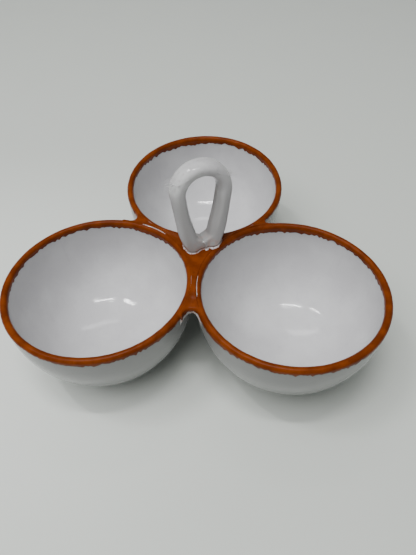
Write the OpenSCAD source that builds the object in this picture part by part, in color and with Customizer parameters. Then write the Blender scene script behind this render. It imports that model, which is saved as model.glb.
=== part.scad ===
// Three-bowl chip and dip server in glazed earthenware.
// Three thrown bowls stand in a ring, luted to each other and to a clay web
// that carries a loop handle. White glaze all over, brown glaze on the lips and web.
// Z = 0 is the table. The origin is the middle of the footprint's bounding box.

/* [Bowls] */
// Outside radius of a bowl's clay wall at the lip
bowl_r = 72.3; // [60:0.1:90]
// Height of the clay lip above the table
rim_h = 80; // [66:0.5:100]
// Thickness of the clay lip
lip_t = 4.8; // [3:0.1:6]
// Height of the upright collar under the lip
collar_h = 6; // [5.5:0.5:10]
// Fullness of the outside curve, where 2 is an ellipse and more is squarer
outside_fullness = 2; // [2:0.1:3]
// Fullness of the inside curve
inside_fullness = 2.5; // [2:0.1:3.2]
// Thickness of the bowl's floor
floor_t = 7; // [5:0.5:9]

// Outside radius of the foot turned under each bowl
foot_r = 33; // [26:1:42]
// Width of the foot's standing edge
foot_w = 6; // [4:0.5:10]
// Depth of the hollow turned inside the foot
foot_h = 3; // [2:0.5:6]

/* [Seams and web] */
// Gap between neighbouring bowls, filled by the slip seam
slip_t = 1.6; // [1.5:0.1:4]
// Length of a slip seam along the pinch between two bowls
seam_len = 20; // [12:1:28]
// Depth of a slip seam below the lip
seam_depth = 20; // [12:1:36]
// Thickness of the clay web and wedges
web_t = 7; // [6.5:0.5:14]
// How far each wedge reaches past the pinch between its two bowls
wedge_reach = 23; // [18:0.5:28]

/* [Glaze] */
// Thickness of the brown glaze
glaze_t = 0.5; // [0.4:0.1:0.8]
// How far the brown glaze runs down inside a bowl, from the middle of the lip
band_in = 5.5; // [4:0.5:5.5]
// How far the brown glaze runs down outside a bowl, from the middle of the lip
band_out = 4.5; // [3:0.5:5]

/* [Handle] */
// Radius of the loop's crown, to the middle of the strap
crown_r = 18.6; // [16:0.1:24]
// Distance of the crown's centre from the handle's foot, along the loop
crown_h = 49; // [42:0.5:70]
// Half the distance between the two leg ends
leg_spread = 8.2; // [7:0.1:10]
// Thickness of the strap, across the finger hole
strap_t = 11.6; // [9:0.1:12]
// Width of the strap, along the finger hole
strap_w = 17.5; // [14:0.1:18]
// Height of the clay pressed between the legs
crotch_h = 12; // [10:0.5:20]
// Depth of the V in the top of that clay
crotch_dip = 6; // [0:0.5:8]
// Width of that clay, along the finger hole
crotch_w = 13; // [10:0.5:14]
// Turn of the loop about the vertical
handle_turn = 25; // [0:1:60]
// Lean of the loop towards the back
handle_lean = 9; // [0:1:15]
// How far the handle stands to the right of the bowls' common axis
handle_right = 3; // [0:0.5:4]
// How far the handle stands behind the bowls' common axis
handle_back = 2; // [0:0.5:3]
// Thickness of the slip under the handle's foot
pad_t = 1; // [0.6:0.1:2]
// Width of the slip bead round the handle's foot
bead_w = 1.5; // [1:0.1:2.5]
// Height of the slip bead above the slip pad
bead_h = 1.6; // [1:0.1:2.5]

/* [Hidden] */

$fn = 240;
CURVE_STEPS = 18;      // straight steps in each bowl curve
LIP_STEPS = 8;         // straight steps over the lip
STRAP_SIDES = 32;      // sides of the strap's oval section
BEAD_SIDES = 48;       // sides of the oval slip bead
FEATHER = 0.8;         // how much wider the wedges' hollows are than a touching circle
LEG_INSET = 0.05;      // how much thinner a leg is than the crown, on each side
LEG_LAP = 0.5;         // how far a leg runs up inside the crown
EPS = 0.01;
WHITE = [0.86, 0.86, 0.85];
BROWN = [0.62, 0.29, 0.10];
SLIP = [0.80, 0.76, 0.72];

// Directions of the bowls from the common axis, and of the seams between them.
LEFT = 210;
RIGHT = 330;
BACK = 90;
FRONT_SEAM = 270;
BACK_RIGHT_SEAM = 30;
BACK_LEFT_SEAM = 150;

half_pitch = bowl_r + slip_t / 2;              // from a pinch to a bowl's centre
ring_r = half_pitch / cos(30);                 // from the common axis to a bowl's centre
pinch_r = half_pitch * tan(30);                // from the common axis to a pinch
// The common axis lies off the middle of the bounding box along Y.
axis_y = -(ring_r - pinch_r) / 2;

lip_z = rim_h - lip_t / 2;                     // middle of the lip
lip_mid_r = bowl_r - lip_t / 2;
inner_r = bowl_r - lip_t;
belly_z = lip_z - collar_h;                    // where the wall starts to curve
floor_z = foot_h + floor_t;                    // inside floor
// Semi-depths of the two superellipses. The outside one passes through the foot ring's edge.
outside_depth = (belly_z - foot_h) / pow(1 - pow(foot_r / bowl_r, outside_fullness), 1 / outside_fullness);
inside_depth = belly_z - floor_z;

// A wedge ends in a round hollow. The circle that touches both bowls there follows from
// (bowl_r + touching_r)^2 = (wedge_reach + touching_r)^2 + half_pitch^2. The hollow is
// a little wider, so that it meets the walls at an angle and leaves no feather edges.
touching_r = (pow(wedge_reach, 2) + pow(half_pitch, 2) - pow(bowl_r, 2)) / (2 * (bowl_r - wedge_reach));
hollow_r = touching_r + FEATHER;
hollow_at = pinch_r + wedge_reach + hollow_r;  // from the common axis

// A point of a superellipse quarter at parameter angle t, 0 at the collar and 90 on the axis.
function belly_point(radius, depth, fullness, t) =
    [radius * pow(cos(t), 2 / fullness), belly_z - depth * pow(sin(t), 2 / fullness)];
function belly_end(radius, fullness, end_r) = acos(pow(end_r / radius, fullness / 2));
function outside_curve() =
    let (last = belly_end(bowl_r, outside_fullness, foot_r))
    [for (i = [0:CURVE_STEPS])
        belly_point(bowl_r, outside_depth, outside_fullness, last * i / CURVE_STEPS)];
function inside_curve() =
    [for (i = [0:CURVE_STEPS])
        belly_point(inner_r, inside_depth, inside_fullness, 90 * (CURVE_STEPS - i) / CURVE_STEPS)];
// The half circle over the lip, from the inside to the outside, grown by a coat.
function lip_arc(coat) =
    [for (i = [0:LIP_STEPS])
        let (a = 180 - 180 * i / LIP_STEPS)
        [lip_mid_r + (lip_t / 2 + coat) * cos(a), lip_z + (lip_t / 2 + coat) * sin(a)]];
function reversed(points) = [for (i = [len(points) - 1:-1:0]) points[i]];

module at_axis() {
    translate([0, axis_y, 0]) children();
}

module at_bowl(direction) {
    at_axis() rotate(direction) translate([ring_r, 0, 0]) children();
}

// The solid inside a bowl's outer wall, carried straight up past the lip: it cuts
// the web, wedges and seams so that they meet the wall face to face.
module bowl_envelope(direction) {
    at_bowl(direction)
        rotate_extrude()
            polygon(concat(
                [[0, rim_h + web_t], [bowl_r, rim_h + web_t]],
                outside_curve(),
                [[0, foot_h]]
            ));
}

module all_bowl_envelopes() {
    for (direction = [LEFT, RIGHT, BACK])
        bowl_envelope(direction);
}

// Ends the wedges in a round hollow between two bowls.
module hollow_cutters() {
    at_axis()
        for (direction = [FRONT_SEAM, BACK_RIGHT_SEAM, BACK_LEFT_SEAM])
            rotate(direction)
                translate([hollow_at, 0, -EPS])
                    cylinder(r = hollow_r, h = rim_h + web_t);
}

// Star from the common axis to the bowls' centres and the hollows' centres.
module web_outline() {
    polygon([for (i = [0:5])
        let (a = BACK + 60 * i)
        (i % 2 == 0 ? ring_r : hollow_at) * [cos(a), sin(a)]]);
}

// A slab with the plan of the web and wedges together, with holes at the bowls.
module web_block(bottom, thickness, hole_r) {
    at_axis()
        translate([0, 0, bottom])
            linear_extrude(thickness)
                difference() {
                    web_outline();
                    for (direction = [LEFT, RIGHT, BACK])
                        rotate(direction) translate([ring_r, 0]) circle(hole_r);
                    for (direction = [FRONT_SEAM, BACK_RIGHT_SEAM, BACK_LEFT_SEAM])
                        rotate(direction) translate([hollow_at, 0]) circle(hollow_r);
                }
}

module bowl(direction) {
    color(WHITE)
        at_bowl(direction)
            rotate_extrude()
                polygon(concat(
                    outside_curve(),
                    [[foot_r, 0], [foot_r - foot_w, 0], [foot_r - foot_w, foot_h], [0, foot_h]],
                    inside_curve(),
                    lip_arc(0)
                ));
}

// Slip pressed between two bowls along their pinch.
module slip_seam(direction) {
    color(SLIP)
        difference() {
            at_axis()
                rotate(direction)
                    translate([pinch_r - seam_len / 2, -half_pitch, rim_h - seam_depth])
                        cube([seam_len, 2 * half_pitch, seam_depth]);
            all_bowl_envelopes();
        }
}

// Clay pressed into the hollow outside a pinch.
module wedge(direction) {
    color(WHITE)
        difference() {
            at_axis()
                translate([0, 0, rim_h - web_t])
                    linear_extrude(web_t)
                        intersection() {
                            web_outline();
                            rotate(direction)
                                translate([pinch_r + seam_len / 2, -half_pitch])
                                    square([ring_r, 2 * half_pitch]);
                        }
            all_bowl_envelopes();
            hollow_cutters();
        }
}

// The three-cusped clay between all three bowls, which carries the handle.
module center_web() {
    color(WHITE)
        difference() {
            at_axis()
                translate([0, 0, rim_h - web_t])
                    linear_extrude(web_t)
                        intersection_for(direction = [FRONT_SEAM, BACK_RIGHT_SEAM, BACK_LEFT_SEAM])
                            rotate(direction)
                                translate([-ring_r, -ring_r])
                                    square([ring_r + pinch_r - seam_len / 2, 2 * ring_r]);
            all_bowl_envelopes();
        }
}

// Brown glaze: a coat over each lip and a skin over the web and wedges, which also
// fills the groove where a lip's round edge runs into the web.
module rim_glaze() {
    color(BROWN)
        difference() {
            union() {
                difference() {
                    for (direction = [LEFT, RIGHT, BACK])
                        lip_coat(direction);
                    web_block(rim_h - web_t, web_t, bowl_r);
                }
                intersection() {
                    for (direction = [LEFT, RIGHT, BACK])
                        groove_fill(direction);
                    web_block(lip_z, rim_h + glaze_t - lip_z, lip_mid_r);
                }
                web_block(rim_h, glaze_t, bowl_r);
            }
            slip_fill();
        }
}

module lip_coat(direction) {
    at_bowl(direction)
        rotate_extrude()
            polygon(concat(
                [[inner_r - glaze_t, lip_z - band_in]],
                lip_arc(glaze_t),
                [[bowl_r + glaze_t, lip_z - band_out], [bowl_r, lip_z - band_out]],
                reversed(lip_arc(0)),
                [[inner_r, lip_z - band_in]]
            ));
}

// Fills the corner over the outer half of a lip, up to the top of the glaze.
module groove_fill(direction) {
    at_bowl(direction)
        rotate_extrude()
            polygon(concat(
                [for (i = [LIP_STEPS / 2:LIP_STEPS])
                    let (a = 180 - 180 * i / LIP_STEPS)
                    [lip_mid_r + lip_t / 2 * cos(a), lip_z + lip_t / 2 * sin(a)]],
                [[bowl_r, rim_h + glaze_t], [lip_mid_r, rim_h + glaze_t]]
            ));
}

module at_handle(height) {
    at_axis()
        translate([handle_right, handle_back, height])
            children();
}

// The loop's own frame: it stands in the XZ plane, then turns and leans back. Its
// centreline is an arc over the crown and two straight legs that touch the arc's ends.
leg_slant = atan2(leg_spread, crown_h);
leg_touch = acos(crown_r / norm([leg_spread, crown_h]));
leg_len = sqrt(pow(leg_spread, 2) + pow(crown_h, 2) - pow(crown_r, 2));
// Angle below the horizontal at which the arc ends, which is also each leg's outward tilt.
leg_tilt = 90 - leg_slant - leg_touch;
// The legs start below the foot, so that the cut at the foot is whole.
leg_root = strap_w / 2 * tan(handle_lean) + strap_t / 2 * tan(leg_tilt) + pad_t;

module strap_section(inset) {
    polygon([for (i = [0:STRAP_SIDES - 1])
        let (a = 360 * i / STRAP_SIDES)
        [(strap_t / 2 - inset) * cos(a), (strap_w / 2 - inset) * sin(a)]]);
}

module crown() {
    translate([0, 0, crown_h])
        rotate([90, 0, 0])
            rotate(-leg_tilt)
                rotate_extrude(angle = 180 + 2 * leg_tilt)
                    translate([crown_r, 0])
                        strap_section(0);
}

// A leg is a hair thinner than the crown, so that its top ends inside the crown.
module leg() {
    translate([leg_spread, 0, 0])
        rotate([0, leg_tilt, 0])
            translate([0, 0, -leg_root])
                linear_extrude(leg_len + leg_root + LEG_LAP)
                    strap_section(LEG_INSET);
}

// Clay pressed between the legs, up to a V at the bottom of the finger hole.
module crotch() {
    top_half = leg_spread + crotch_h * tan(leg_tilt);
    rotate([90, 0, 0])
        linear_extrude(crotch_w, center = true)
            polygon([
                [-leg_spread, -leg_root], [leg_spread, -leg_root],
                [top_half, crotch_h], [0, crotch_h - crotch_dip], [-top_half, crotch_h],
            ]);
}

module handle() {
    color(WHITE)
        difference() {
            at_handle(rim_h + pad_t)
                rotate([-handle_lean, 0, 0])
                    rotate(handle_turn) {
                        crown();
                        leg();
                        mirror([1, 0, 0]) leg();
                        crotch();
                    }
            at_handle(rim_h + pad_t - 2 * crown_h)
                translate([-crown_h, -crown_h, 0])
                    cube(2 * crown_h);
        }
}

// Oval round the handle's foot, wider than it by the slip bead.
module bead_plan() {
    long_half = leg_spread + strap_t / 2 / cos(leg_tilt) + bead_w;
    short_half = strap_w / 2 / cos(handle_lean) + bead_w;
    rotate(handle_turn)
        polygon([for (i = [0:BEAD_SIDES - 1])
            let (a = 360 * i / BEAD_SIDES)
            [long_half * cos(a), short_half * sin(a)]]);
}

// Everything inside the bead's outline, from a level up to the top of the bead.
module bead_prism(bottom) {
    at_handle(bottom)
        linear_extrude(rim_h + pad_t + bead_h - bottom)
            bead_plan();
}

// The slip under and round the handle's foot, which also fills the groove between
// the web and a lip that the foot stands by.
module slip_fill() {
    bead_prism(rim_h);
    intersection() {
        for (direction = [LEFT, RIGHT, BACK])
            groove_fill(direction);
        bead_prism(lip_z);
    }
}

// Slip that lutes the handle to the web and lips: a pad under the foot and a bead round it.
module handle_slip() {
    color(SLIP)
        difference() {
            slip_fill();
            handle();
        }
}

bowl(LEFT);  // bowl_left
bowl(RIGHT);  // bowl_right
bowl(BACK);  // bowl_back
slip_seam(FRONT_SEAM);  // slip_seam_front
slip_seam(BACK_RIGHT_SEAM);  // slip_seam_back_right
slip_seam(BACK_LEFT_SEAM);  // slip_seam_back_left
wedge(FRONT_SEAM);  // wedge_front
wedge(BACK_RIGHT_SEAM);  // wedge_back_right
wedge(BACK_LEFT_SEAM);  // wedge_back_left
center_web();
rim_glaze();
handle_slip();
handle();
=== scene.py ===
"""Looks of a three-bowl chip and dip server in glazed earthenware.

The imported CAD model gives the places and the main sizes. Every CAD node is replaced by a mesh made
here in code: turned bowls with throwing rings, a brown glaze coat with drips, pressed clay
between the bowls, and a pulled loop handle. Lengths are in metres, in the row's frame.
"""
import math

import bpy
import numpy as np
import openvdb
from mathutils import Matrix, Vector


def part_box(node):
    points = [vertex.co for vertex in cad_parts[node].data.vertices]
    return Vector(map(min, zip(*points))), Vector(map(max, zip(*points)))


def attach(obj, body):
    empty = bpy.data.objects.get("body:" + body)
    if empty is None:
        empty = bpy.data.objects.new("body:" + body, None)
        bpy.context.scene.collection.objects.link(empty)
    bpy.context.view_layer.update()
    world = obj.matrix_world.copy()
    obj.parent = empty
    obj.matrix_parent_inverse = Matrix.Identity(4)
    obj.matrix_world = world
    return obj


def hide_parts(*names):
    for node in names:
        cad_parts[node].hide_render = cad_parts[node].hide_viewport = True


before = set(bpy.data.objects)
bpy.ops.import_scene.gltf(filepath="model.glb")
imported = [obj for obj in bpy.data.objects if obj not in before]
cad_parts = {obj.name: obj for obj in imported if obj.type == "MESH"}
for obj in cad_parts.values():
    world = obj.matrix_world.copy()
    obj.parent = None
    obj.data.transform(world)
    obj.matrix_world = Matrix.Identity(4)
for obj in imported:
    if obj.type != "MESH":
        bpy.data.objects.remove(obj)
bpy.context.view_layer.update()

BODY = "root"
MM = 0.001
TAU = 2 * math.pi
BOWLS = ("left", "right", "back")

# ---- sizes that the nodes' boxes don't give; they repeat the CAD model's own ----
LIP_T = 4.8 * MM
COLLAR_H = 6 * MM
FOOT_R, FOOT_W, FOOT_H, FLOOR_T = 33 * MM, 6 * MM, 3 * MM, 7 * MM
OUTSIDE_FULLNESS, INSIDE_FULLNESS = 2.0, 2.5
SEAM_LEN, SEAM_DEPTH, WEB_T = 20 * MM, 20 * MM, 7 * MM
HOLLOW_R, HOLLOW_AT = 7.35 * MM, 72.55 * MM
CROWN_R, CROWN_H, LEG_SPREAD = 18.6 * MM, 49 * MM, 8.2 * MM
STRAP_T, STRAP_W = 11.6 * MM, 17.5 * MM
CROTCH_H, CROTCH_DIP, CROTCH_W = 12 * MM, 6 * MM, 13 * MM
HANDLE_TURN, HANDLE_LEAN = math.radians(25), math.radians(9)
HANDLE_RIGHT, HANDLE_BACK = 3 * MM, 2 * MM
PAD_T = 1 * MM
SEAMS = {"front": math.radians(270), "back_right": math.radians(30), "back_left": math.radians(150)}

# ---- hand-made character, all small against the sizes above ----
COAT_T = 0.45 * MM          # brown glaze above the clay
COAT_SINK = 0.3 * MM        # how far the coat's underside lies inside the clay
CLAY_SINK = 0.4 * MM        # how far the pressed clay keeps below the brown glaze over it
RIPPLE = 0.012 * MM         # height of the throwing rings
RIPPLE_PITCH = 4.6 * MM
RIM_WAVE = 0.3 * MM         # rise and fall of a lip
WEB_DROP = 0.4 * MM         # how far the web's clay lies below the lips' clay
EMBED = 0.4 * MM            # how far pressed clay and slip run into the walls they join
NOTCH_AT = HOLLOW_AT - 1.5 * MM     # the wedges' hollows, pressed a little nearer the middle
LEG_BOW = 1.3 * MM          # outward bow of each leg at its middle
LEG_SWELL = 0.8 * MM        # extra half thickness of each leg just above the foot
SEAM_SLANT = 0.35           # sideways run of the seam between the legs for each unit it drops
CAP_DEPTH = 5 * MM          # how far down the sides of the web its brown glaze runs
OUTLINE_SEED, WEB_TOP_SEED, CAP_EDGE_SEED, BEAD_PLAN_SEED, BEAD_TOP_SEED = 5, 6, 8, 9, 10

# ---- colours: linear red, green and blue ----
MILK_SHADE, MILK = (0.56, 0.555, 0.57), (0.63, 0.63, 0.64)
# OUTSIDE_PAINTED_SHADE is painted shade: the bowls' outside wall is greyed to stand in for the dimmer light
# it gets.
MILK_STREAK, OUTSIDE_PAINTED_SHADE = (0.50, 0.49, 0.52), (0.255, 0.255, 0.255)
IRON_SPECK, BARE_CLAY = (0.20, 0.12, 0.08), (0.50, 0.30, 0.20)
THIN_SHADE, THIN_MILK = (0.50, 0.49, 0.50), (0.60, 0.60, 0.60)
# LEG_PAINTED_SHADE is painted shade: the handle's legs are greyed below its lit crown.
PULLED_STREAK, LEG_PAINTED_SHADE, THIN_PINK = (0.42, 0.39, 0.40), (0.40, 0.395, 0.395), (0.50, 0.30, 0.24)
BROWN_SHADE, BROWN_BODY = (0.12, 0.020, 0.0002), (0.185, 0.034, 0.0004)
BROWN_BRUSHED, BROWN_EDGE = (0.08, 0.012, 0.0002), (0.07, 0.009, 0.0002)
SLIP_SHADE, SLIP_PALE, SLIP_CRUMB = (0.58, 0.52, 0.54), (0.74, 0.71, 0.71), (0.42, 0.16, 0.08)
# TABLE_PAINTED_LIGHT is a pool of light painted on the table to the left; TABLE_TONE is the table away from
# it.
TABLE_PAINTED_LIGHT, TABLE_TONE = (0.76, 0.79, 0.75), (0.63, 0.66, 0.62)

# Voxel sizes for the pieces that are modelled as fields.
CLAY_VOXEL, CAP_VOXEL, HANDLE_VOXEL, BEAD_VOXEL = (
    ((0.55 * MM, 0.42 * MM, 0.42 * MM, 0.25 * MM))
)


# =================================== places ===================================
def middle(node):
    low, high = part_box(node)
    return (low + high) / 2


BOWL_R = (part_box("bowl_back")[1].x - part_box("bowl_back")[0].x) / 2
RIM_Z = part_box("bowl_back")[1].z
CENTRES = {name: middle("bowl_" + name) for name in BOWLS}
AXIS = sum(CENTRES.values(), Vector()) / len(BOWLS)
HALF_PITCH = (CENTRES["right"] - CENTRES["left"]).length / 2
PINCH_R = HALF_PITCH * math.tan(math.radians(30))
LIP_Z = RIM_Z - LIP_T / 2
LIP_MID_R = BOWL_R - LIP_T / 2
BELLY_Z = LIP_Z - COLLAR_H
FLOOR_Z = FOOT_H + FLOOR_T
FOOT_Z = RIM_Z + PAD_T      # underside of the handle
HANDLE_AT = Vector((AXIS.x + HANDLE_RIGHT, AXIS.y + HANDLE_BACK, FOOT_Z))

# The warp that throwing and drying left in each lip: how its centre moved, how much
# it grew, how oval it is and the direction of its long axis.
WARPS = {
    "left": {"shift": (-0.1 * MM, 0.4 * MM), "growth": -0.007, "oval": 0.016, "long_axis": math.radians(31)},
    "right": {"shift": (0.0, 0.7 * MM), "growth": 0.003, "oval": 0.011, "long_axis": math.radians(-20)},
    "back": {"shift": (0.1 * MM, -1.2 * MM), "growth": 0.007, "oval": 0.035, "long_axis": math.radians(-86)},
}


# =============================== small mathematics ===============================
def smoothstep(value, low, high):
    t = np.clip((value - low) / (high - low), 0, 1)
    return t * t * (3 - 2 * t)


def smooth_min(a, b, blend):
    h = np.clip(0.5 + 0.5 * (b - a) / blend, 0, 1)
    return b * (1 - h) + a * h - blend * h * (1 - h)


def smooth_max(a, b, blend):
    return -smooth_min(-a, -b, blend)


def turn_noise(phi, seed, lowest, highest, fall=0.5):
    """A wavy value around a circle, about -1 to 1, made of whole waves."""
    random = np.random.default_rng(seed)
    waves = np.arange(lowest, highest + 1)
    sizes = waves.astype(float) ** -fall
    sizes *= 1.6 / np.sqrt((sizes ** 2).sum())
    phases = random.uniform(0, TAU, len(waves))
    return (sizes[:, None] * np.cos(waves[:, None] * phi[None, :] + phases[:, None])).sum(0)


def space_noise(x, y, z, seed, wavelength, count=7):
    """A smooth value in space, about -1 to 1, made of plane waves."""
    random = np.random.default_rng(seed)
    total = 0
    for _ in range(count):
        way = random.normal(size=3)
        way *= TAU / (wavelength * np.linalg.norm(way)) * random.uniform(0.6, 1.4)
        total = total + np.sin(way[0] * x + way[1] * y + way[2] * z + random.uniform(0, TAU))
    return total / math.sqrt(count)


class Table:
    """Values on a square grid, read back between its points."""

    def __init__(self, low, step, values):
        self.low, self.step, self.values = low, step, values

    def __call__(self, a, b):
        rows, columns = self.values.shape
        u = np.clip((a - self.low[0]) / self.step, 0, rows - 1.001)
        v = np.clip((b - self.low[1]) / self.step, 0, columns - 1.001)
        i, j = u.astype(int), v.astype(int)
        u, v = u - i, v - j
        corner = self.values
        near = corner[i, j] * (1 - v) + corner[i, j + 1] * v
        far = corner[i + 1, j] * (1 - v) + corner[i + 1, j + 1] * v
        return near * (1 - u) + far * u


def arc_lengths(points):
    """Distance along a line of points, from its first one."""
    return np.concatenate([[0], np.cumsum(np.linalg.norm(np.diff(points, axis=0), axis=1))])


def evenly_spaced(points, spacing):
    along = arc_lengths(points)
    count = max(2, int(round(along[-1] / spacing)) + 1)
    at = np.linspace(0, along[-1], count)
    return np.stack([np.interp(at, along, points[:, 0]), np.interp(at, along, points[:, 1])], -1)


# ================================ turned profile ================================
def quarter_curve(radius, depth, fullness, last_angle):
    """Superellipse from the collar down to where it meets the floor or the foot."""
    t = np.linspace(0, last_angle, 400)
    return np.stack([
        radius * np.cos(t) ** (2 / fullness),
        BELLY_Z - depth * np.sin(t) ** (2 / fullness),
    ], -1)


def arc(centre, radius, start, end, steps=24):
    t = np.radians(np.linspace(start, end, steps))
    return np.stack([centre[0] + radius * np.cos(t), centre[1] + radius * np.sin(t)], -1)


def wall_profile():
    """The bowl's turned outline: inside floor, inside wall, lip, outside wall, foot, underside."""
    foot_share = (FOOT_R / BOWL_R) ** OUTSIDE_FULLNESS
    outside_depth = (BELLY_Z - FOOT_H) / (1 - foot_share) ** (1 / OUTSIDE_FULLNESS)
    inside = quarter_curve(BOWL_R - LIP_T, BELLY_Z - FLOOR_Z, INSIDE_FULLNESS, math.pi / 2)[::-1]
    inside[0, 0] = 0
    outside = quarter_curve(BOWL_R, outside_depth, OUTSIDE_FULLNESS, math.acos(math.sqrt(foot_share)))
    edge = 1.2 * MM         # rounding of the foot ring
    inner_foot_r = FOOT_R - FOOT_W
    foot = np.concatenate([
        arc((FOOT_R - edge, edge), edge, 0, -90),
        arc((inner_foot_r + edge, edge), edge, -90, -180),
        arc((inner_foot_r - edge, FOOT_H - edge), edge, 0, 90),
        [[0, FOOT_H]],
    ])
    lip = arc((LIP_MID_R, LIP_Z), LIP_T / 2, 180, 0, 40)
    return inside, lip, outside, foot


INSIDE, LIP, OUTSIDE, FOOT = wall_profile()
WALL = evenly_spaced(np.concatenate([INSIDE, LIP, OUTSIDE]), 0.2 * MM)
WALL_S = arc_lengths(WALL)
WALL_S -= WALL_S[np.argmax(WALL[:, 1])]     # 0 on the crest of the lip, negative inside


def along_wall(s):
    """Points of the clay's outline and its outward normals, at arc lengths from the crest."""
    point = np.stack([np.interp(s, WALL_S, WALL[:, k]) for k in (0, 1)], -1)
    slope = np.stack([np.interp(s, WALL_S, np.gradient(WALL[:, k], WALL_S)) for k in (0, 1)], -1)
    slope /= np.linalg.norm(slope, axis=-1, keepdims=True)
    return point, np.stack([-slope[..., 1], slope[..., 0]], -1)


def wall_table():
    """Signed distance to the clay wall's cross-section near the lip, negative in the clay."""
    low, high, step = (BOWL_R - 16 * MM, RIM_Z - 30 * MM), (BOWL_R + 22 * MM, RIM_Z + 6 * MM), 0.3 * MM
    a, b = np.meshgrid(*(np.arange(low[k], high[k], step) for k in (0, 1)), indexing="ij")
    near = WALL[(WALL[:, 0] > low[0] - 6 * MM) & (WALL[:, 1] > low[1] - 6 * MM)]
    nearest = np.full(a.shape, 1.0)
    for point in near:
        nearest = np.minimum(nearest, np.hypot(a - point[0], b - point[1]))
    # Below the lip's centre the wall lies between its inside and outside radius at that height.
    crest = np.argmax(near[:, 1])
    inner, outer = near[:crest + 1], near[crest:]
    inner_r = np.interp(b, inner[:, 1], inner[:, 0])
    outer_r = np.interp(b, outer[::-1, 1], outer[::-1, 0])
    inside = (a > inner_r) & (a < outer_r) & (b < RIM_Z)
    return Table(low, step, np.where(inside, -nearest, nearest))


# ============================== the bowls' own warp ==============================
def rim_lift(name, phi):
    seed = BOWLS.index(name)
    return RIM_WAVE * (np.cos(2 * phi + 1.3 + seed) + 0.5 * np.cos(3 * phi + 2.1 * seed))


def place(name, phi, rho, z):
    """Where a point of the ideal turned bowl lies on the warped one. The foot isn't warped."""
    warp, centre = WARPS[name], CENTRES[name]
    share = smoothstep(z, FOOT_H, RIM_Z)
    oval = warp["oval"] * np.cos(2 * (phi - warp["long_axis"]))
    radius = rho * (1 + share * (warp["growth"] + oval))
    return np.stack([
        centre.x + share * warp["shift"][0] + radius * np.cos(phi),
        centre.y + share * warp["shift"][1] + radius * np.sin(phi),
        z + share * rim_lift(name, phi),
    ], -1)


def flatten(name, x, y, z):
    """The opposite of place(), near the lip: radius and height on the ideal bowl."""
    warp, centre = WARPS[name], CENTRES[name]
    share = smoothstep(z, FOOT_H, RIM_Z)
    dx = x - centre.x - share * warp["shift"][0]
    dy = y - centre.y - share * warp["shift"][1]
    phi = np.arctan2(dy, dx)
    oval = warp["oval"] * np.cos(2 * (phi - warp["long_axis"]))
    return np.hypot(dx, dy) / (1 + share * (warp["growth"] + oval)), z - share * rim_lift(name, phi)


# ================================= mesh making =================================
def add_piece(name, points, faces, material, nodes, mark=None):
    """A smooth mesh that rides on the one body and stands for the named CAD nodes.

    A mark is the name of a value that the material reads, and that value at each point.
    """
    mesh = bpy.data.meshes.new(name)
    mesh.from_pydata(np.asarray(points).tolist(), [], faces)
    mesh.shade_smooth()
    mesh.set_sharp_from_angle(angle=math.radians(50))
    if mark is not None:
        mark_name, values = mark
        mesh.attributes.new(mark_name, "FLOAT", "POINT").data.foreach_set("value", values.astype(np.float32))
    mesh.validate()
    piece = bpy.data.objects.new(name, mesh)
    bpy.context.scene.collection.objects.link(piece)
    mesh.materials.append(material)
    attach(piece, BODY)
    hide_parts(*nodes)


def grid_faces(rows, columns, wrap_rows):
    """Quads between rows of points that each go once round."""
    i, j = np.meshgrid(np.arange(rows if wrap_rows else rows - 1), np.arange(columns), indexing="ij")
    after, beside = (i + 1) % rows, (j + 1) % columns
    corners = ((i, j), (i, beside), (after, beside), (after, j))
    return np.stack([row * columns + column for row, column in corners], -1).reshape(-1, 4).tolist()


def field_mesh(low, high, voxel, field):
    """The surface where field(x, y, z) is zero. The field is negative inside."""
    axes = [np.arange(low[k], high[k] + voxel, voxel) for k in range(3)]
    values = field(axes[0][:, None, None], axes[1][None, :, None], axes[2][None, None, :])
    grid = openvdb.FloatGrid(1.0)
    grid.copyFromArray(np.clip(values / voxel, -8, 8).astype(np.float32))
    points, quads = grid.convertToQuads(isovalue=0.0)
    points = points.astype(float) * voxel + np.array([axis[0] for axis in axes])
    corner = points[quads]
    across = np.cross(corner[:, 1] - corner[:, 0], corner[:, 2] - corner[:, 0])
    if (across * (corner[:, 0] - points.mean(0))).sum() < 0:
        quads = quads[:, ::-1]
    return points, quads.tolist()


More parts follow.
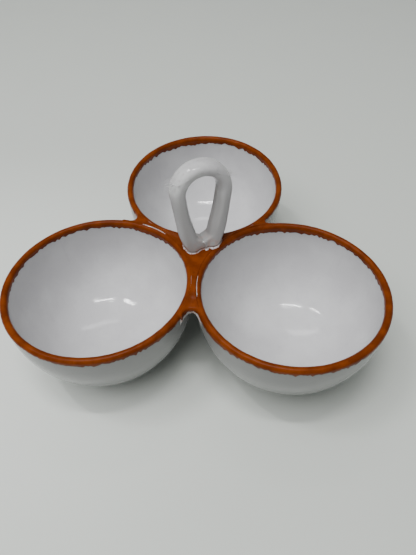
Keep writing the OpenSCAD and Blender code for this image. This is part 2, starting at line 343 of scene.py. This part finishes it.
# ================================== materials ==================================
class Look:
    """A material under construction: one Principled shader and short calls that add nodes."""

    def __init__(self, name, **sockets):
        self.material = bpy.data.materials.new(name)
        self.material.use_nodes = True
        self.tree = self.material.node_tree
        self.shader = self.tree.nodes["Principled BSDF"]
        for socket, value in sockets.items():
            self.shader.inputs[socket.replace("_", " ")].default_value = value
        self.where = self.tree.nodes.new("ShaderNodeTexCoord").outputs["Object"]

    def add(self, kind, inputs, **settings):
        made = self.tree.nodes.new(kind)
        for key, value in settings.items():
            setattr(made, key, value)
        for key, value in inputs.items():
            socket = made.inputs[key]
            if isinstance(value, bpy.types.NodeSocket):
                self.tree.links.new(value, socket)
            else:
                socket.default_value = value
        return made

    def noise(self, size, detail=3.0, roughness=0.5, stretch=(1, 1, 1)):
        """Noise from about 0 to 1, with features of the given size in metres."""
        place = self.add("ShaderNodeMapping", {"Vector": self.where, "Scale": stretch})
        made = self.add("ShaderNodeTexNoise", {
            "Vector": place.outputs[0], "Scale": 1 / size, "Detail": detail, "Roughness": roughness})
        return made.outputs["Fac"]

    def ramp(self, value, low, high, to_low=0.0, to_high=1.0):
        made = self.add("ShaderNodeMapRange", {
            "Value": value, "From Min": low, "From Max": high, "To Min": to_low, "To Max": to_high})
        made.interpolation_type = "SMOOTHSTEP"
        return made.outputs[0]

    def mix(self, share, first, second):
        made = self.tree.nodes.new("ShaderNodeMix")
        made.data_type = "RGBA"
        for socket, value in ((made.inputs[0], share), (made.inputs[6], first), (made.inputs[7], second)):
            if isinstance(value, bpy.types.NodeSocket):
                self.tree.links.new(value, socket)
            else:
                socket.default_value = value if isinstance(value, float) else (*value, 1.0)
        return made.outputs[2]

    def math(self, operation, first, second):
        return self.add("ShaderNodeMath", {0: first, 1: second}, operation=operation).outputs[0]

    def height(self):
        return self.add("ShaderNodeSeparateXYZ", {0: self.where}).outputs["Z"]

    def bump(self, *layers):
        """Layers are (height 0 to 1, how many metres that is)."""
        normal = None
        for value, depth in layers:
            inputs = {"Height": value, "Strength": 1.0, "Distance": depth}
            if normal is not None:
                inputs["Normal"] = normal
            normal = self.add("ShaderNodeBump", inputs).outputs[0]
        self.tree.links.new(normal, self.shader.inputs["Normal"])

    def paint(self, socket, value):
        self.tree.links.new(value, self.shader.inputs[socket])


def white_glaze():
    """Tin-white glaze: milky, with painted shade that darkens it outside, faint streaks, a few iron specks
    and a bare foot.
    """
    look = Look("white_glaze", IOR=1.5)
    clouds = look.noise(34 * MM, 4)
    streaks = look.noise(5 * MM, 3, stretch=(1, 1, 0.25))
    color = look.mix(look.ramp(clouds, 0.35, 0.7), MILK_SHADE, MILK)
    color = look.mix(look.ramp(streaks, 0.55, 0.8, 0, 0.35), color, MILK_STREAK)
    # Painted shade: where the mesh marks the outside wall, the colour goes to a dark grey.
    outside = look.add("ShaderNodeAttribute", {}, attribute_name="outside").outputs["Fac"]
    color = look.mix(outside, color, OUTSIDE_PAINTED_SHADE)
    specks = look.add("ShaderNodeTexVoronoi", {"Vector": look.where, "Scale": 1 / (9 * MM)})
    chosen = look.ramp(look.noise(21 * MM, 1), 0.60, 0.62)
    dot = look.math("MULTIPLY", look.ramp(specks.outputs["Distance"], 0.045, 0.02), chosen)
    color = look.mix(look.math("MULTIPLY", dot, 0.7), color, IRON_SPECK)
    bare = look.ramp(look.math("ADD", look.height(), look.math("MULTIPLY", look.noise(6 * MM), 1.2 * MM)),
                     1.7 * MM, 1.2 * MM)
    look.paint("Base Color", look.mix(bare, color, BARE_CLAY))
    sheen = look.ramp(look.noise(12 * MM), 0.3, 0.8, 0.07, 0.14)
    look.paint("Roughness", look.math("ADD", sheen, look.math("MULTIPLY", bare, 0.65)))
    look.bump((look.noise(14 * MM, 2), 0.06 * MM), (look.noise(1.3 * MM, 2), 0.006 * MM))
    return look.material


def clay_glaze():
    """White glaze over pressed clay and the handle: darker below the crown with painted shade, pinkish where
    it is thin.
    """
    look = Look("thin_white_glaze", IOR=1.5)
    clouds = look.noise(16 * MM, 4)
    color = look.mix(look.ramp(clouds, 0.35, 0.7), THIN_SHADE, THIN_MILK)
    pulled = look.noise(3 * MM, 3, stretch=(1, 1, 0.2))
    color = look.mix(look.ramp(pulled, 0.52, 0.75, 0, 0.5), color, PULLED_STREAK)
    # Painted shade: the legs below the crown are darkened, standing in for the light that falls on the crown
    # from above.
    painted_leg_shade = look.ramp(look.height(), FOOT_Z + 60 * MM, FOOT_Z + 38 * MM)
    color = look.mix(painted_leg_shade, color, LEG_PAINTED_SHADE)
    near_foot = look.ramp(look.height(), FOOT_Z + 14 * MM, FOOT_Z - 2 * MM)
    thin = look.math("MULTIPLY", near_foot, look.ramp(look.noise(4 * MM, 3), 0.42, 0.62, 0.0, 0.6))
    look.paint("Base Color", look.mix(thin, color, THIN_PINK))
    look.paint("Roughness", look.ramp(look.noise(8 * MM), 0.3, 0.8, 0.07, 0.14))
    look.bump((look.noise(9 * MM, 2), 0.08 * MM), (pulled, 0.04 * MM))
    return look.material


def brown_glaze():
    """Iron-brown glaze: clouded, darker in brushed streaks and at its ragged edge."""
    look = Look("brown_glaze", IOR=1.5, Specular_IOR_Level=0.16)
    clouds = look.noise(10 * MM, 4)
    color = look.mix(look.ramp(clouds, 0.35, 0.68), BROWN_SHADE, BROWN_BODY)
    brushed = look.noise(2.2 * MM, 3)
    color = look.mix(look.ramp(brushed, 0.55, 0.78, 0, 0.45), color, BROWN_BRUSHED)
    edge = look.add("ShaderNodeAttribute", {}, attribute_name="edge").outputs["Fac"]
    dark = look.ramp(look.math("ADD", edge, look.math("MULTIPLY", look.noise(3 * MM), 0.9 * MM)),
                     1.9 * MM, 0.7 * MM, 0.0, 0.9)
    look.paint("Base Color", look.mix(dark, color, BROWN_EDGE))
    look.paint("Roughness", look.ramp(look.noise(6 * MM), 0.3, 0.8, 0.32, 0.44))
    look.bump((look.noise(6 * MM, 2), 0.08 * MM), (look.noise(1.2 * MM, 2), 0.018 * MM))
    return look.material


def luting_slip():
    """Slip that squeezed out under the handle: lilac white, with terracotta crumbs."""
    look = Look("luting_slip", IOR=1.48)
    color = look.mix(look.ramp(look.noise(3 * MM, 3), 0.35, 0.65), SLIP_SHADE, SLIP_PALE)
    crumbs = look.ramp(look.noise(1.5 * MM, 2), 0.52, 0.62)
    look.paint("Base Color", look.mix(look.math("MULTIPLY", crumbs, 0.8), color, SLIP_CRUMB))
    look.paint("Roughness", look.ramp(look.noise(2 * MM), 0.3, 0.8, 0.22, 0.5))
    look.bump((look.noise(1.4 * MM, 3), 0.12 * MM))
    return look.material


WHITE, CLAY, BROWN, SLIP = white_glaze(), clay_glaze(), brown_glaze(), luting_slip()


# ==================================== bowls ====================================
def make_bowl(name):
    spacing = 0.75 * MM
    sides = 360
    wall = evenly_spaced(np.concatenate([INSIDE, LIP, OUTSIDE]), spacing)
    lip = evenly_spaced(LIP, 0.4 * MM)
    below_lip = wall[:, 1] < LIP_Z - 0.2 * MM
    crest = int(np.argmax(wall[:, 1]))
    outline = np.concatenate([
        wall[:crest][below_lip[:crest]], lip, wall[crest:][below_lip[crest:]], evenly_spaced(FOOT, 0.6 * MM),
    ])
    phi = np.arange(sides) / sides * TAU
    # Throwing rings: a spiral that the potter's fingers left. It fades out towards the lip, the
    # middle of the floor and the foot.
    along = arc_lengths(outline)
    slope = np.stack([np.gradient(outline[:, k], along) for k in (0, 1)], -1)
    slope /= np.linalg.norm(slope, axis=-1, keepdims=True) + 1e-9
    normal = np.stack([-slope[:, 1], slope[:, 0]], -1)
    depth = smoothstep(outline[:, 0], 6 * MM, 25 * MM) * smoothstep(LIP_Z - outline[:, 1], 1 * MM, 9 * MM)
    depth *= smoothstep(outline[:, 1], FOOT_H, 12 * MM)
    spiral = np.cos(TAU * along[:, None] / RIPPLE_PITCH + phi[None, :] + BOWLS.index(name))
    spiral = spiral + 0.8 * np.cos(TAU * along[:, None] / (3.1 * RIPPLE_PITCH) - phi[None, :] * 2)
    height = RIPPLE * depth[:, None] * spiral
    rho = outline[:, :1] + height * normal[:, :1]
    z = outline[:, 1:] + height * normal[:, 1:]
    phi = np.broadcast_to(phi, rho.shape)
    rings = place(name, phi, rho, z)[1:-1]
    points = np.concatenate([rings.reshape(-1, 3), [rings[0].mean(0), rings[-1].mean(0)]])
    faces = [face[::-1] for face in grid_faces(len(rings), sides, False)]
    top, under, last = len(points) - 2, len(points) - 1, (len(rings) - 1) * sides
    for k in range(sides):
        following = (k + 1) % sides
        faces.append([k, following, top])
        faces.append([last + following, last + k, under])
    # This marks the outside wall, which the white glaze darkens with painted shade.
    outside = np.repeat(np.arange(1, len(outline) - 1) > np.argmax(outline[:, 1]), sides)
    outside = np.concatenate([outside, [False, True]])
    add_piece("bowl_" + name + "_thrown", points, faces, WHITE, ["bowl_" + name],
              ("outside", outside))


# ================================= brown coats =================================
def drips(phi, seed, spacing, tallest, widest):
    """Pointed runs of glaze, in metres, round a lip."""
    random = np.random.default_rng(seed)
    total = np.zeros_like(phi)
    at = 0.0
    while at < TAU:
        half_width = random.uniform(0.45, 1) * widest / BOWL_R
        tall = random.uniform(0.25, 1) * tallest
        away = np.abs((phi - at + math.pi) % TAU - math.pi) / half_width
        total = np.maximum(total, tall * np.clip(1 - away, 0, 1) ** 1.3)
        at += random.uniform(0.5, 1.5) * spacing / BOWL_R
    return total


COAT_BANDS = {
    # mean depth of the band inside and outside the crest, and the seed of its ragged edges
    "left": {"inside": 6.3 * MM, "outside": 5.6 * MM, "seed": 11},
    "right": {"inside": 5.9 * MM, "outside": 5.6 * MM, "seed": 23},
    "back": {"inside": 6.2 * MM, "outside": 5.4 * MM, "seed": 37},
}


def make_coat(name):
    """The coat over one lip: rounded at its ragged edges, with its underside in the clay."""
    sides = 1080
    band = COAT_BANDS[name]
    seed = band["seed"]
    phi = np.arange(sides) / sides * TAU
    inside = band["inside"] + 0.7 * MM * turn_noise(phi, seed, 1, 7)
    inside = inside + 0.3 * MM * turn_noise(phi, seed + 1, 16, 120)
    inside = inside + drips(phi, seed + 2, 9 * MM, 1.9 * MM, 4 * MM)
    outside = band["outside"] + 0.5 * MM * turn_noise(phi, seed + 3, 1, 9)
    outside = outside + 0.3 * MM * turn_noise(phi, seed + 4, 30, 160)
    outside = outside + drips(phi, seed + 5, 11 * MM, 1.6 * MM, 2.8 * MM)
    t = np.linspace(0, 1, 46)
    t = 0.5 - 0.5 * np.cos(math.pi * (0.35 * t + 0.65 * (0.5 - 0.5 * np.cos(math.pi * t))))
    over = -inside[:, None] + (inside + outside)[:, None] * t[None, :]
    rim = 0.8 * MM          # width over which the coat rounds down to the clay
    from_edge = np.minimum(over + inside[:, None], outside[:, None] - over)
    roundness = np.sqrt(np.clip(1 - (1 - np.clip(from_edge / rim, 0, 1)) ** 2, 0, 1))
    waver = 1 + 0.12 * np.sin(over / (1.7 * MM) + 3 * turn_noise(phi, seed + 6, 2, 12)[:, None])
    top_point, top_normal = along_wall(over)
    top = top_point + top_normal * (COAT_T * roundness * waver - 0.05 * MM * (roundness < 0.01))[..., None]
    back = np.linspace(1, 0, 14)[1:-1]
    under_s = -inside[:, None] + (inside + outside)[:, None] * back[None, :]
    under_point, under_normal = along_wall(under_s)
    under = under_point - under_normal * COAT_SINK
    section = np.concatenate([top, under], 1)
    around = np.broadcast_to(phi[:, None], section.shape[:2])
    points = place(name, around, section[..., 0], section[..., 1]).reshape(-1, 3)
    edge = np.concatenate([from_edge, np.zeros(under.shape[:2])], 1).reshape(-1)
    faces = [face[::-1] for face in grid_faces(sides, section.shape[1], True)]
    add_piece("rim_glaze_" + name, points, faces, BROWN, ["rim_glaze"], ("edge", edge))


# ============================ clay between the bowls ============================
WALL_DISTANCE = wall_table()


def seam_coordinates(x, y, direction):
    """Distance from the common axis along a seam's direction, and across it."""
    c, s = math.cos(direction), math.sin(direction)
    dx, dy = x - AXIS.x, y - AXIS.y
    return dx * c + dy * s, dy * c - dx * s


def bowl_walls(x, y, z):
    """Distance to the nearest clay wall, and how far outside every lip's middle a point is."""
    nearest, outside = None, None
    for name in BOWLS:
        rho, height = flatten(name, x, y, z)
        wall = WALL_DISTANCE(rho, height)
        beyond = rho - LIP_MID_R
        nearest = wall if nearest is None else smooth_min(nearest, wall, 0.6 * MM)
        outside = beyond if outside is None else np.minimum(outside, beyond)
    return nearest, outside


def web_outline(x, y):
    """Distance, in plan, outside the web and wedges where they end in round hollows."""
    distance = None
    for direction in SEAMS.values():
        along, across = seam_coordinates(x, y, direction)
        hollow = HOLLOW_R - np.hypot(along - NOTCH_AT, across)
        hollow = np.maximum(hollow, along - NOTCH_AT)
        distance = hollow if distance is None else np.maximum(distance, hollow)
    return distance + 0.35 * MM * space_noise(x, y, 0, OUTLINE_SEED, 9 * MM)


def pressed_clay(x, y, z, outside):
    """Web, wedges and seams as one field, before the walls are joined to it."""
    top = z - (RIM_Z - WEB_DROP) - 0.12 * MM * space_noise(x, y, z, WEB_TOP_SEED, 14 * MM)
    slab = smooth_max(web_outline(x, y), top, 2.2 * MM)
    slab = smooth_max(slab, RIM_Z - WEB_T - z, 3 * MM)
    seams = None
    for direction in SEAMS.values():
        along, across = seam_coordinates(x, y, direction)
        length = np.abs(along - PINCH_R) - SEAM_LEN / 2
        depth = RIM_Z - SEAM_DEPTH - z
        one = smooth_max(smooth_max(length, depth, 4 * MM), np.abs(across) - 9 * MM, 1 * MM)
        seams = one if seams is None else np.minimum(seams, one)
    seams = smooth_max(seams, top, 2 * MM)
    return np.maximum(smooth_min(slab, seams, 4 * MM), -outside)


def all_clay(x, y, z):
    """Walls, web, wedges and seams, run together in fillets: tight on top, wide underneath."""
    walls, outside = bowl_walls(x, y, z)
    blend = 2.2 * MM + 2.4 * MM * smoothstep(RIM_Z - z, 3 * MM, 7 * MM)
    return smooth_min(walls, pressed_clay(x, y, z, outside), blend), walls, outside


def zone(x, y, kind, seam=None):
    """Distance outside the share of the clay that belongs to one CAD node."""
    if kind == "web":
        return np.maximum.reduce([
            seam_coordinates(x, y, way)[0] - (PINCH_R - SEAM_LEN / 2) for way in SEAMS.values()])
    along, across = seam_coordinates(x, y, SEAMS[seam])
    if kind == "wedge":
        return np.maximum(PINCH_R + SEAM_LEN / 2 - along, np.abs(across) - along)
    return np.abs(along - PINCH_R) - SEAM_LEN / 2


def make_clay(name, node, kind, seam=None):
    def field(x, y, z):
        clay, walls, outside = all_clay(x, y, z)
        under_glaze = CLAY_SINK * smoothstep(z, RIM_Z - 6 * MM, RIM_Z - 4.5 * MM)
        own = np.maximum(np.maximum(clay + under_glaze, -(walls + EMBED)), -outside)
        return np.maximum(own, zone(x, y, kind, seam))

    reach = 4 * MM
    low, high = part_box(node)
    low, high = low - Vector((reach, reach, reach)), high + Vector((reach, reach, reach))
    points, faces = field_mesh(low, high, CLAY_VOXEL, field)
    add_piece(name, points, faces, CLAY, [node])


def make_cap():
    """Brown glaze over the web. It dives under the lips' coats before their crests."""
    def field(x, y, z):
        clay, _, outside = all_clay(x, y, z)
        under_coat = smoothstep(outside, 0.2 * MM, 1.3 * MM)
        low_edge = RIM_Z - CAP_DEPTH + 0.7 * MM * space_noise(x, y, 0, CAP_EDGE_SEED, 4 * MM)
        above = smoothstep(z, low_edge, low_edge + 0.9 * MM)
        on_web = smoothstep(-web_outline(x, y), -1.6 * MM, -0.7 * MM)
        share = under_coat * above * on_web
        return np.maximum(clay - (COAT_T * share - 1.2 * MM * (1 - share)), -(clay + 0.9 * MM))

    low = Vector((AXIS.x - NOTCH_AT, AXIS.y - NOTCH_AT, RIM_Z - CAP_DEPTH - 3 * MM))
    high = Vector((AXIS.x + NOTCH_AT, AXIS.y + NOTCH_AT, RIM_Z + 3 * MM))
    points, faces = field_mesh(low, high, CAP_VOXEL, field)
    edge = (points[:, 2] - (RIM_Z - CAP_DEPTH)).clip(0)
    add_piece("rim_glaze_web", points, faces, BROWN, ["rim_glaze"], ("edge", edge))


# =================================== handle ===================================
LOOP = (Matrix.Translation(HANDLE_AT) @ Matrix.Rotation(-HANDLE_LEAN, 4, "X")
        @ Matrix.Rotation(HANDLE_TURN, 4, "Z"))


def loop_half():
    """The strap's centreline in the loop's own plane, from under the foot to past the crown."""
    slant = math.atan2(LEG_SPREAD, CROWN_H)
    touch = math.acos(CROWN_R / math.hypot(LEG_SPREAD, CROWN_H))
    tilt = math.pi / 2 - slant - touch
    past_top = math.radians(25)
    t = np.linspace(-tilt, math.pi / 2 + past_top, 160)
    crown = np.stack([CROWN_R * np.cos(t), CROWN_H + CROWN_R * np.sin(t)], -1)
    down = np.array([-math.sin(tilt), -math.cos(tilt)])
    length = (crown[0, 1] + 5 * MM) / math.cos(tilt)
    share = np.linspace(1, 0, 120, endpoint=False)[:, None]
    outward = np.array([math.cos(tilt), -math.sin(tilt)])
    leg = crown[0] + down * length * share + outward * LEG_BOW * np.sin(math.pi * share)
    return np.concatenate([leg, crown])


def centreline_tables():
    """Signed distance from the half loop, positive on its outer side, and height along it."""
    line = loop_half()
    step = 0.4 * MM
    low, high = (-34 * MM, -8 * MM), (34 * MM, CROWN_H + 34 * MM)
    u, w = np.meshgrid(*(np.arange(low[k], high[k], step) for k in (0, 1)), indexing="ij")
    distance, side, along = np.full(u.shape, 1.0), np.zeros(u.shape), np.zeros(u.shape)
    heading = np.gradient(line, axis=0)
    for k, (point, way) in enumerate(zip(line, heading)):
        away = np.hypot(u - point[0], w - point[1])
        nearer = away < distance
        turned = (u - point[0]) * way[1] - (w - point[1]) * way[0]
        distance = np.where(nearer, away, distance)
        side = np.where(nearer, np.sign(turned), side)
        along = np.where(nearer, k / len(line), along)
    return Table(low, step, distance * side), Table(low, step, along)


OFFSET, ALONG = centreline_tables()


def strap(u, v, w, mirrored):
    """Distance to one half of the strap, whose section is a soft-cornered oval."""
    if mirrored:
        u = -u
    offset, along = OFFSET(u, w), ALONG(u, w)
    thick = STRAP_T / 2 * (1.0 + 0.03 * np.sin(9 * along + 2 * mirrored))
    thick = thick + LEG_SWELL * np.exp(-((along - 0.17) / 0.1) ** 2)
    wide = STRAP_W / 2 * (1.0 - 0.10 * smoothstep(along, 0.75, 0.05) + 0.03 * np.sin(7 * along + mirrored))
    away = np.hypot(offset, v) + 1e-9
    fullness = 2.25
    share = (np.abs(offset / thick) ** fullness + np.abs(v / wide) ** fullness) ** (1 / fullness) + 1e-9
    around = np.arctan2(v, offset)
    ridges = 0.10 * MM * np.sin(7 * around + 5 * along + mirrored) * smoothstep(away, 2 * MM, 5 * MM)
    return away - away / share - ridges


def loop_coordinates(x, y, z):
    back = LOOP.inverted()
    return [back[k][0] * x + back[k][1] * y + back[k][2] * z + back[k][3] for k in range(3)]


def whole_handle(x, y, z):
    u, v, w = loop_coordinates(x, y, z)
    blend = 0.2 * MM + 2.0 * MM * smoothstep(CROWN_H - w, 8 * MM, 26 * MM)
    legs = smooth_min(strap(u, v, w, False), strap(u, v, w, True), blend)
    tip = CROTCH_H - CROTCH_DIP
    top = w - (tip + 0.5 * np.abs(u))
    clay = smooth_max(smooth_max(np.abs(v) - CROTCH_W / 2, top, 2 * MM), np.abs(u) - LEG_SPREAD, 2 * MM)
    loop = smooth_min(legs, clay, 1.8 * MM)
    # The raised seam where the legs were pressed together, and the pit its tool left above it.
    front = v + CROTCH_W / 2
    seam = np.sqrt((u + 0.6 * MM + SEAM_SLANT * (w - tip)) ** 2 + (front + 0.2 * MM) ** 2
                   + np.maximum(w - tip + 1 * MM, 0) ** 2)
    pit = np.sqrt((u + 1.6 * MM) ** 2 + (front - 0.2 * MM) ** 2 + (w - tip - 0.6 * MM) ** 2)
    return smooth_max(smooth_min(loop, seam - 0.9 * MM, 0.8 * MM), 1.0 * MM - pit, 0.4 * MM)


def make_handle():
    def field(x, y, z):
        return smooth_max(whole_handle(x, y, z), FOOT_Z + 0.1 * MM - z, 1.6 * MM)

    low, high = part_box("handle")
    reach = Vector((3 * MM, 3 * MM, 2 * MM))
    points, faces = field_mesh(low - reach, high + reach, HANDLE_VOXEL, field)
    add_piece("loop_handle", points, faces, CLAY, ["handle"])


def make_slip_bead():
    """The slip that squeezed out round the foot: thin on the left, lumpy on the right."""
    def field(x, y, z):
        foot = whole_handle(x, y, FOOT_Z + 1.2 * MM + 0 * z)
        right = smoothstep((x - HANDLE_AT.x) / (12 * MM), -0.4, 1.0)
        ragged = space_noise(x, y, 0, BEAD_PLAN_SEED, 4.5 * MM)
        reach = (0.35 + 0.75 * right) * MM + (0.25 + 0.4 * right) * MM * ragged
        top = FOOT_Z + (0.1 + 0.3 * right) * MM + 0.2 * MM * space_noise(x, y, 0, BEAD_TOP_SEED, 3.5 * MM)
        bead = smooth_max(foot - reach, z - top, 0.7 * MM)
        # The crack that opened between the foot and the bead as they dried.
        crack = np.maximum(foot - 0.25 * MM, FOOT_Z - 0.4 * MM - z)
        clay = all_clay(x, y, z)[0]
        return np.maximum(np.maximum(bead, -(clay + EMBED)), -crack)

    low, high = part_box("handle_slip")
    reach = Vector((4 * MM, 4 * MM, 2 * MM))
    points, faces = field_mesh(low - reach, high + reach, BEAD_VOXEL, field)
    add_piece("foot_slip", points, faces, SLIP, ["handle_slip"])


for name in BOWLS:
    make_bowl(name)
    make_coat(name)
make_clay("web_clay", "center_web", "web")
for seam in SEAMS:
    make_clay("wedge_clay_" + seam, "wedge_" + seam, "wedge", seam)
    make_clay("seam_clay_" + seam, "slip_seam_" + seam, "seam", seam)
make_cap()
make_handle()
make_slip_bead()


# ==================================== stage ====================================
TABLE_HALF = 6.0            # the table is open all round, so nothing hides the object from behind
# A pool of light is painted on the table's colour, palest at this place and fading to the table's tone.
PAINTED_LIGHT_AT, PAINTED_LIGHT_FROM, PAINTED_LIGHT_TO = (-0.2, -0.05, 0), 0.08, 0.30     # its palest place, and how far that reaches


def make_stage():
    corners = ((-1, -1), (1, -1), (1, 1), (-1, 1))
    mesh = bpy.data.meshes.new("table")
    mesh.from_pydata([(TABLE_HALF * x, TABLE_HALF * y, 0) for x, y in corners], [], [(0, 1, 2, 3)])
    look = Look("pale_table", IOR=1.45)
    # Painted light: the table's colour is paler near one place to the left, a painted pool of light.
    away = look.add("ShaderNodeVectorMath", {0: look.where, 1: PAINTED_LIGHT_AT}, operation="DISTANCE")
    painted_falloff = look.ramp(away.outputs["Value"], PAINTED_LIGHT_FROM, PAINTED_LIGHT_TO)
    look.paint("Base Color", look.mix(painted_falloff, TABLE_PAINTED_LIGHT, TABLE_TONE))
    look.paint("Roughness", look.ramp(look.noise(0.05), 0.3, 0.7, 0.42, 0.5))
    mesh.materials.append(look.material)
    table = bpy.data.objects.new("table", mesh)
    bpy.context.scene.collection.objects.link(table)


make_stage()


# ============================== light and camera ==============================
LAMP_Z = 2.0
ROOM_TINT, ROOM_LOW, ROOM_HIGH = (0.95, 1.0, 0.98, 1), 0.21, 0.23
CAMERA_AT = (0.0283, -0.3064, 0.3655)
PITCH, YAW, ROLL = math.radians(48.54), math.radians(4.17), math.radians(-1.29)
SENSOR_W, LENS = 36, 32.43              # in millimetres, as Blender wants them


def area_light(name, x, y, size, power, spin=0.0):
    """A rectangular lamp aimed at the rims, spun about its own axis."""
    lamp = bpy.data.lights.new(name, "AREA")
    lamp.shape = "RECTANGLE"
    lamp.size, lamp.size_y = size
    lamp.energy = power
    holder = bpy.data.objects.new(name, lamp)
    at = Vector((x, y, LAMP_Z))
    aim = (Vector((0, 0, RIM_Z)) - at).to_track_quat("-Z", "Y")
    holder.matrix_world = Matrix.Translation(at) @ aim.to_matrix().to_4x4() @ Matrix.Rotation(spin, 4, "Z")
    bpy.context.scene.collection.objects.link(holder)
    return holder


def make_lights():
    area_light("ceiling_tube", -0.04, -0.22, (0.62, 0.06), 10, math.radians(12))
    area_light("ceiling_tube_left", -0.88, -0.05, (0.42, 0.06), 7, math.radians(50))
    area_light("far_tube", -0.2, 0.94, (0.9, 0.15), 2)
    soft = area_light("soft_ceiling", -0.6, -0.6, (1.7, 1.7), 42)
    soft.visible_glossy = False
    make_room_light()


def make_room_light():
    """Dim light from all round that is brighter overhead than at the horizon."""
    world = bpy.data.worlds.new("room")
    world.use_nodes = True
    bpy.context.scene.world = world
    tree = world.node_tree
    background = tree.nodes["Background"]
    background.inputs["Color"].default_value = ROOM_TINT
    way = tree.nodes.new("ShaderNodeTexCoord").outputs["Generated"]
    split = tree.nodes.new("ShaderNodeSeparateXYZ")
    rise = tree.nodes.new("ShaderNodeMapRange")
    rise.inputs["To Min"].default_value = ROOM_LOW
    rise.inputs["To Max"].default_value = ROOM_HIGH
    tree.links.new(way, split.inputs[0])
    tree.links.new(split.outputs["Z"], rise.inputs["Value"])
    tree.links.new(rise.outputs[0], background.inputs["Strength"])


def make_camera():
    """A camera at CAMERA_AT. Yaw turns it from +Y, pitch tips it down and roll tilts the picture."""
    forward = Vector((-math.sin(YAW) * math.cos(PITCH), math.cos(YAW) * math.cos(PITCH), -math.sin(PITCH)))
    level_right = Vector((math.cos(YAW), math.sin(YAW), 0))
    level_up = level_right.cross(forward)
    right = level_right * math.cos(ROLL) + level_up * math.sin(ROLL)
    up = level_up * math.cos(ROLL) - level_right * math.sin(ROLL)
    turn = Matrix((right, up, -forward)).transposed().to_4x4()
    camera = bpy.data.objects.new("camera", bpy.data.cameras.new("camera"))
    camera.data.sensor_width = SENSOR_W
    camera.data.lens = LENS
    camera.data.clip_start = 0.01
    camera.matrix_world = Matrix.Translation(CAMERA_AT) @ turn
    bpy.context.scene.collection.objects.link(camera)
    bpy.context.scene.camera = camera


make_lights()
make_camera()
